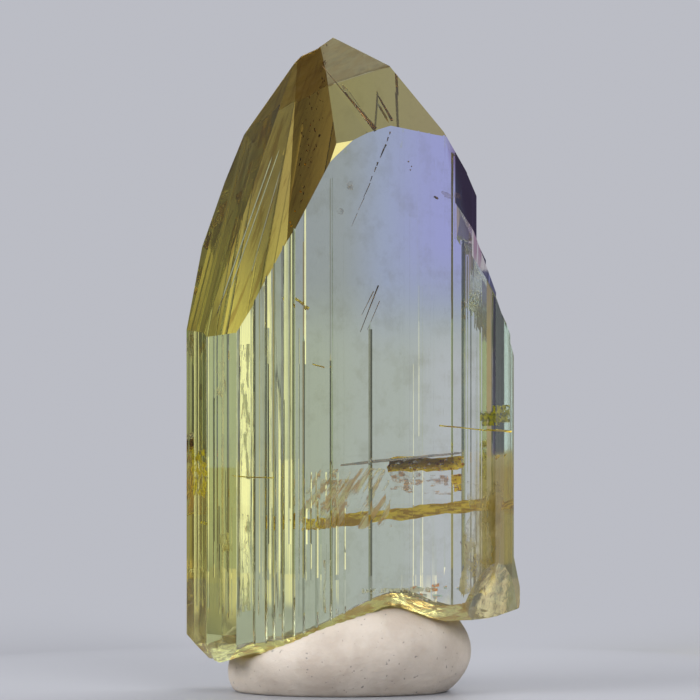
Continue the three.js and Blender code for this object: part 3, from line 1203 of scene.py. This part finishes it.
RUST = StainFilm(
    "rust_stain", light=(1.0, 0.70, 0.05), dark=(0.46, 0.15, 0.0), grain=(6.0, 2.2, 10.0),
    least=0.35, most=1.0, cover=(0.36, 0.46), change=(0.54, 0.59), shine=0.0,
)
FRINGE = StainFilm(
    "fringe_stain", light=(1.0, 0.62, 0.24), dark=(0.55, 0.26, 0.08), grain=(3.4, 2.4, 2.6),
    least=0.0, most=0.5, cover=(0.46, 0.60),
)
BLUR = StainFilm(
    "blurred_stain", light=(0.60, 0.48, 0.36), dark=(0.46, 0.34, 0.24), least=0.0, most=0.22,
)
# Cream and orange films that paint highlights where the striations of the front and its terraces catch the
# light
STRIATION_HIGHLIGHT = StainFilm(
    "painted_highlight_film", light=(1.0, 0.98, 0.80), dark=(1.0, 0.66, 0.32), grain=(8.0, 8.0, 1.3), least=0.0,
    most=0.70, cover=(0.46, 0.56), change=(0.54, 0.66),
)
UMBER = StainFilm(
    "umber_stain", light=(0.34, 0.20, 0.08), dark=(0.10, 0.055, 0.03), least=0.7, most=1.0,
)
OLIVE = StainFilm(
    "olive_film", light=(0.98, 0.76, 0.10), dark=(0.56, 0.34, 0.04), grain=(1.6, 0.8, 5.0),
    least=0.86, most=1.0, change=(0.46, 0.56), shine=0.0,
)
MOSS = StainFilm(
    "moss_film", light=(0.62, 0.54, 0.02), dark=(0.18, 0.18, 0.04), grain=(6.0, 6.0, 5.0),
    least=0.1, most=0.95, cover=(0.38, 0.48),
)
HAZE = StainFilm(
    "olive_haze", light=(0.86, 0.74, 0.34), dark=(0.60, 0.48, 0.14), grain=(1.2, 1.2, 0.8),
    least=0.0, most=0.55, cover=(0.36, 0.56),
)
# A pale film that paints light into the top of the tip
TIP_LIGHT_VEIL = StainFilm(
    "painted_light_veil", light=(1.0, 0.94, 0.72), dark=(0.92, 0.82, 0.56), grain=(1.4, 1.4, 0.5),
    least=0.8, most=1.0, lean=25,
)
YELLOW = StainFilm(
    "yellow_veil", light=(1.0, 0.92, 0.12), dark=(0.70, 0.58, 0.03), grain=(5.5, 5.5, 4.0),
    least=0.0, most=0.90, cover=(0.44, 0.56),
)
# Cream films that paint highlights: the bright streaks at the left of the terraces
TERRACE_HIGHLIGHT = StainFilm(
    "painted_cream_highlight", light=(1.0, 0.95, 0.66), dark=(0.66, 0.54, 0.22), grain=(3.2, 3.2, 1.2),
    least=0.05, most=0.55, cover=(0.42, 0.62),
)
HACKLE = StainFilm(
    "hackle_veil", light=(1.0, 0.90, 0.56), dark=(0.80, 0.50, 0.20), grain=(4.6, 4.6, 0.34),
    least=0.0, most=0.55, cover=(0.50, 0.60), change=(0.44, 0.56), lean=32,
)
SPARK = StainFilm(
    "spark_film", light=(0.80, 1.0, 1.0), dark=(1.0, 0.42, 0.12), grain=(5.0, 5.0, 5.0), least=0.5,
    most=1.0, roughness=0.12,
)


def tip_spot(draw: random.Random, under: float = 0.2) -> Triple:
    """Picks a place just under the dark inner face of the tip.

    Args:
        draw: The seeded randomness.
        under: How far below the face, in millimetres.

    Returns:
        The place.
    """
    x = draw.uniform(-2.3, -1.2)
    y = draw.uniform(-2.6, -0.2) + 1.1 * (x + 1.75)
    on_face = 18.88 + 1.85 * (x + 2.75) + 1.55 * (y + 3.4)
    return (x + 0.7 * under, y + 0.6 * under, on_face - 0.4 * under)


def dashed_line(draw: random.Random) -> list[Stroke]:
    """The broken brown line down the upper front.

    Args:
        draw: The seeded randomness.

    Returns:
        Its dashes from the top down, each finer than the one before.
    """
    top, foot = Vector((1.58, -2.75, 23.55)), Vector((0.08, -2.6, 19.95))
    dashes = []
    share = 0.0
    while share < 0.95:
        length = draw.uniform(0.03, 0.17)
        stray = Vector((draw.uniform(-0.03, 0.03), 0, 0))
        start, end = top.lerp(foot, share) + stray, top.lerp(foot, share + length)
        radius = 0.05 * (1 - 0.7 * share) * draw.uniform(0.5, 1.1)
        dashes.append(Stroke(tuple(start), tuple(end), radius, 0.5))
        share += length + draw.uniform(-0.01, 0.05)
    return dashes


def scratches(draw: random.Random, count: int = 20) -> list[Stroke]:
    """The short scratches at the lower right.

    Args:
        draw: The seeded randomness.
        count: How many there are.

    Returns:
        The scratches, down a slanting line.
    """
    made = []
    for index in range(count):
        x, z = 4.55 + 0.045 * index + draw.uniform(-0.15, 0.15), 6.6 - 0.11 * index
        start = (x, -2.7, z)
        end = (x + draw.uniform(0.0, 0.12), -2.7, z - draw.uniform(0.1, 0.4))
        made.append(Stroke(start, end, draw.uniform(0.01, 0.022)))
    return made


def sparks(draw: random.Random, count: int = 16) -> list[Sheet]:
    """The small iridescent sheets at the base.

    Args:
        draw: The seeded randomness.
        count: How many there are.

    Returns:
        The sheets.
    """
    return [
        Sheet(
            (draw.uniform(2.3, 4.4), -2.5, draw.uniform(3.9, 4.7)),
            draw.uniform(0.12, 0.4),
            draw.uniform(0.08, 0.16),
            (draw.uniform(50, 85), draw.uniform(-12, 12), 0),
            0.02,
            0.05,
            cells=4,
        )
        for _ in range(count)
    ]


# Where small rusty sheets lie at the foot of the tip
GLINTS: tuple[Triple, ...] = (
    (-2.55, -2.85, 19.75),
    (-2.35, -2.8, 20.2),
    (-2.5, -3.0, 19.6),
    (-2.1, -2.5, 21.0),
    (-1.9, -2.0, 22.1),
)


def inclusions() -> list[Inclusion]:
    """The stained fractures, veils, needles and grains inside the crystal, and the films that paint
    highlights and light.

    Returns:
        One piece for each kind of mark.
    """
    draw = random.Random(31)
    dashes, scratched, glitter = dashed_line(draw), scratches(draw), sparks(draw)
    flecks = [Speck(tip_spot(draw), draw.uniform(0.012, 0.04), (0.8, 1.0, 2.2)) for _ in range(60)]
    return [
        Inclusion("rust_fracture", RUST, (
            Sheet((3.02, -0.6, 9.62), 3.1, 1.6, (17, -2, 0), 0.09, 0.18, cells=44),
            Sheet((4.32, -0.9, 8.85), 0.34, 0.7, (78, 0, 10), 0.05, 0.1, cells=6),
            *(Sheet(spot, 0.12, 0.10, (65, 20, 0), 0.02, 0.04, cells=4) for spot in GLINTS),
        )),
        Inclusion("dark_cracks", UMBER, (
            Sheet((1.96, -0.6, 9.83), 5.0, 1.5, (1.0, -5.7, 0), 0.03, 0.05, cells=60),
        )),
        Inclusion("rust_fringe", FRINGE, (
            Sheet((2.9, -0.6, 8.85), 2.7, 1.6, (28, 4, 0), 0.10, 0.2),
        )),
        Inclusion("blurred_spots", BLUR, (
            Speck((-0.1, -2.2, 21.3), 0.19, (0.9, 0.4, 1.1)),
            Speck((-0.12, -2.0, 21.2), 0.11, (0.9, 0.4, 1.1)),
            Speck((-0.55, -2.0, 20.2), 0.15, (1.1, 0.4, 0.9)),
            Speck((3.9, -2.2, 20.9), 0.12, (2.4, 0.4, 0.8)),
        )),
        # Painted highlights: bright films at the terraces and at the foot of the front
        Inclusion("painted_highlights", STRIATION_HIGHLIGHT, (
            Sheet((-4.42, -2.62, 11.9), 0.42, 5.6, (89, 0, -8), 0.03, 0.10, cells=12),
            Sheet((-4.40, -2.62, 5.6), 0.34, 4.0, (89, 0, -8), 0.03, 0.10, cells=12),
            Sheet((-2.0, -2.8, 5.0), 0.12, 2.8, (89, 0, 4), 0.02, 0.05, cells=6),
            Sheet((-1.2, -2.8, 4.6), 0.10, 2.2, (89, 0, 4), 0.02, 0.05, cells=6),
            Sheet((1.9, -2.6, 4.45), 3.0, 0.20, (60, -2, 0), 0.04, 0.06, cells=30),
        )),
        Inclusion("olive_crack", OLIVE, (
            Sheet((1.85, 0.0, 7.5), 8.1, 2.5, (8.2, -6.4, 0), 0.12, 0.10, cells=90),
            Sheet((5.1, -2.2, 11.15), 3.0, 0.7, (1, 5.7, 0), 0.02, 0.05, cells=34),
            Sheet((-3.98, -2.4, 9.15), 1.45, 0.7, (1, 3, 0), 0.02, 0.05, cells=14),
            Sheet((-2.15, -2.5, 16.4), 0.75, 0.12, (70, 38, 0), 0.03, 0.04, cells=10),
            Sheet((-1.45, -2.5, 13.8), 0.5, 0.06, (70, 20, 0), 0.03, 0.04, cells=8),
        )),
        Inclusion("yellow_veil", YELLOW, (
            Sheet((-6.22, -0.45, 9.2), 1.5, 1.9, (90, 0, -67.5), 0.10, 0.25, cells=20),
            Sheet((-5.95, -0.7, 7.1), 0.5, 0.12, (80, 6, -60), 0.03, 0.03, cells=8),
        )),
        Inclusion("moss_patches", MOSS, (
            Sheet((6.0, -2.1, 11.76), 0.9, 0.75, (62, 4, 35), 0.06, 0.08, cells=14),
            Sheet((5.55, -2.4, 11.6), 0.5, 0.6, (80, 4, 10), 0.05, 0.06, cells=10),
        )),
        Inclusion("olive_haze", HAZE, (
            Sheet((5.35, -2.7, 6.6), 1.3, 4.6, (90, 4, 0), 0.05, 0.30, cells=20),
        )),
        Inclusion("hackle_fan", HACKLE, (
            Sheet((-0.45, -1.9, 8.25), 3.6, 2.5, (84, 0, 0), 0.05, 0.10, cells=40),
            Sheet((0.2, -1.2, 8.0), 2.8, 2.0, (80, 0, 6), 0.08, 0.16, cells=40),
        )),
        # Painted highlights: bright cream streaks at the left
        Inclusion("painted_cream_highlights", TERRACE_HIGHLIGHT, (
            Sheet((-5.35, -1.9, 13.2), 0.5, 1.5, (90, 0, -50), 0.08, 0.15, cells=10),
            Sheet((-5.2, -2.1, 6.4), 0.6, 0.7, (90, 0, -50), 0.08, 0.15, cells=10),
        )),
        Inclusion("brown_needles", UMBER, (
            *dashes,
            *scratched,
            Stroke((1.05, -2.6, 17.15), (0.30, -2.5, 15.2), 0.028),
            Stroke((0.85, -2.5, 16.9), (0.35, -2.5, 15.9), 0.02),
            Stroke((1.10, -2.6, 16.5), (0.60, -2.5, 15.3), 0.018),
            Speck((3.46, -2.4, 20.8), 0.06, (1.8, 0.6, 0.9)),
            Speck((2.32, -2.5, 22.3), 0.035),
            Speck((2.45, -2.5, 22.1), 0.03),
            Speck((2.4, -2.5, 21.95), 0.03),
            Stroke((0.90, -3.16, 23.62), (-1.28, -0.55, 26.15), 0.035, 0.35),
            Stroke((0.92, -3.10, 23.64), (-0.33, -1.6, 25.10), 0.10, 0.15),
            Stroke((1.62, -3.03, 24.00), (1.04, -2.06, 24.98), 0.06, 0.3),
            *flecks,
        )),
        Inclusion("sparkle", SPARK, tuple(glitter)),
    ]


@dataclass
class RearVeil:
    """A pale veil just under the rear face of the tip: painted light, which keeps the top of the tip from
    looking dark.
    """

    node: str = "crystal"
    under: float = 0.04 * MM
    thickness: float = 0.012 * MM
    shrink: float = 0.98

    def build(self) -> bpy.types.Object:
        """Makes the veil.

        Returns:
            The veil as one piece that rides with the crystal.
        """
        bm = node_copy(self.node)
        facing = TIP_FACINGS[Zone.TIP_REAR]
        crystal = CrystalBody()
        others = [face for face in bm.faces if crystal.zone(face) is not Zone.TIP_REAR]
        bmesh.ops.delete(bm, geom=others, context="FACES")
        middle = sum((vert.co for vert in bm.verts), Vector()) / len(bm.verts)
        for vert in bm.verts:
            vert.co = middle + (vert.co - middle) * self.shrink - facing * self.under
        bmesh.ops.solidify(bm, geom=bm.faces[:], thickness=self.thickness)
        bmesh.ops.recalc_face_normals(bm, faces=bm.faces)
        log.info("rear veil: %d faces, %d open edges", len(bm.faces), open_edges(bm))
        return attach(finished(bm, "rear_light_veil", TIP_LIGHT_VEIL.make()), BODY)


@dataclass
class PuttyFoot:
    """The lump of putty: squat, rounded, pressed flat below and moulded to the crystal above."""

    node: str = "putty_foot"
    voxel: float = 0.14 * MM
    smoothing: int = 6
    smooth_share: float = 0.5
    clay: PuttyClay = field(default_factory=PuttyClay)

    def build(self) -> bpy.types.Object:
        """Makes the putty.

        Returns:
            The putty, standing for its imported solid.
        """
        bm = node_copy(self.node)
        made = finished(bm, "putty_lump", self.clay.make())
        remesh = made.modifiers.new("remesh", "REMESH")
        remesh.mode = "VOXEL"
        remesh.voxel_size = self.voxel
        remesh.use_smooth_shade = True
        smooth = made.modifiers.new("smooth", "SMOOTH")
        smooth.iterations = self.smoothing
        smooth.factor = self.smooth_share
        depsgraph = bpy.context.evaluated_depsgraph_get()
        shaped = bpy.data.meshes.new_from_object(made.evaluated_get(depsgraph))
        made.modifiers.clear()
        made.data = shaped
        log.info("putty: %d faces", len(shaped.polygons))
        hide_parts(self.node)
        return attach(made, BODY)


@dataclass
class Studio:
    """A plain pale floor that sweeps up all round, soft lights above and cards out of view."""

    flat_radius: float = 1.3
    sweep_radius: float = 0.8
    wall_height: float = 2.6
    sweep_steps: int = 12
    spin_steps: int = 72
    light_distance: float = 0.9
    band_edges: tuple[float, ...] = (24 * MM, 60 * MM, 128 * MM, 400 * MM)
    band_lift: float = 0.3 * MM
    wall: float = 400 * MM
    paper: StudioPaper = field(default_factory=StudioPaper)

    def floor(self) -> bpy.types.Object:
        """Makes the floor and its sweep.

        Returns:
            The floor, as stage.
        """
        profile = [(0.0, 0.0), (self.flat_radius, 0.0)]
        for index in range(1, self.sweep_steps + 1):
            turn = math.pi / 2 * index / self.sweep_steps
            reach = self.flat_radius + self.sweep_radius * math.sin(turn)
            profile.append((reach, self.sweep_radius * (1 - math.cos(turn))))
        profile.append((self.flat_radius + self.sweep_radius, self.wall_height))
        bm = spun(profile, self.spin_steps)
        bmesh.ops.recalc_face_normals(bm, faces=bm.faces)
        made = finished(bm, "studio_floor", self.paper.make())
        for polygon in made.data.polygons:
            polygon.use_smooth = True
        return made

    def softbox(self, name: str, azimuth: float, elevation: float, size: float, power: float) -> None:
        """Adds one square soft light that looks at the specimen.

        Args:
            name: The light's name.
            azimuth: Degrees from behind the specimen towards +X.
            elevation: Degrees above the floor.
            size: Side of the light in metres.
            power: Watts.
        """
        turn, lift = math.radians(azimuth), math.radians(elevation)
        way = Vector((math.sin(turn) * math.cos(lift), math.cos(turn) * math.cos(lift), math.sin(lift)))
        data = bpy.data.lights.new(name, "AREA")
        data.size = size
        data.energy = power
        lamp = bpy.data.objects.new(name, data)
        facing = way.to_track_quat("Z", "Y").to_matrix().to_4x4()
        lamp.matrix_world = Matrix.Translation(way * self.light_distance) @ facing
        bpy.context.scene.collection.objects.link(lamp)

    def band(self, glow: CardGlow, points: list[Span]) -> None:
        """Adds a ring of cards that only reflections and the crystal's own refraction see.

        Args:
            glow: Its finish.
            points: Its profile, as distances from the middle and heights.
        """
        ring = finished(spun(points, self.spin_steps), glow.name, glow.make())
        ring.visible_camera = False
        ring.visible_diffuse = False
        ring.visible_shadow = False

    def world(self) -> None:
        """Sets the dim even light of the room."""
        world = bpy.data.worlds.new("room")
        world.use_nodes = True
        background = world.node_tree.nodes["Background"]
        background.inputs["Color"].default_value = (0.75, 0.77, 0.82, 1)
        background.inputs["Strength"].default_value = 0.6
        bpy.context.scene.world = world

    def build(self) -> None:
        """Makes the whole studio."""
        self.world()
        self.floor()
        self.softbox("key_light", azimuth=-120, elevation=30, size=0.5, power=9)
        self.softbox("fill_light", azimuth=150, elevation=35, size=0.5, power=6)
        self.softbox("rear_light", azimuth=40, elevation=48, size=0.6, power=7)
        glows = (TIP_GLOW, LOW_GLOW, HIGH_GLOW)
        for glow, inner, outer in zip(glows, self.band_edges, self.band_edges[1:]):
            self.band(glow, [(inner, self.band_lift), (outer, self.band_lift)])
        outermost = self.band_edges[-1]
        self.band(WALL_GLOW, [(outermost, self.band_lift), (outermost, self.wall)])


@dataclass
class PhotoCamera:
    """The camera: far away with a long lens, a little above the level."""

    target: Vector = field(default_factory=lambda: Vector((-0.125, 0, 14.256)) * MM)
    elevation: float = math.radians(4)
    frame_width: float = 29.17 * MM
    lens: float = 1200.0
    sensor: float = 36.0

    def build(self) -> bpy.types.Object:
        """Makes the camera and gives it to the scene.

        Returns:
            The camera.
        """
        data = bpy.data.cameras.new("photo_camera")
        data.lens = self.lens
        data.sensor_width = self.sensor
        distance = self.frame_width * self.lens / self.sensor
        data.clip_end = 10 * distance
        way = Vector((0, -math.cos(self.elevation), math.sin(self.elevation)))
        camera = bpy.data.objects.new("photo_camera", data)
        turn = way.to_track_quat("Z", "Y").to_matrix().to_4x4()
        camera.matrix_world = Matrix.Translation(self.target + way * distance) @ turn
        bpy.context.scene.collection.objects.link(camera)
        bpy.context.scene.camera = camera
        return camera


# How often light may bounce, and how bright an indirect sample may be
PATHS = {
    "max_bounces": 24,
    "transmission_bounces": 24,
    "glossy_bounces": 16,
    "transparent_max_bounces": 24,
    "sample_clamp_indirect": 6,
}


def set_render_paths() -> None:
    """Lets light pass through the crystal's many faces and keeps the photograph's plain tones."""
    scene = bpy.context.scene
    scene.view_settings.view_transform = "Standard"
    for name, value in PATHS.items():
        setattr(scene.cycles, name, value)


def main() -> None:
    """Builds the specimen and its studio."""
    logging.basicConfig(level=logging.INFO, format="%(name)s: %(message)s")
    set_render_paths()
    PhotoCamera().build()
    Studio().build()
    for part in (CrystalBody(), PuttyFoot(), RearVeil(), *inclusions()):
        made = part.build()
        log.info("%s is ready", made.name)


if __name__ == "__main__":
    main()
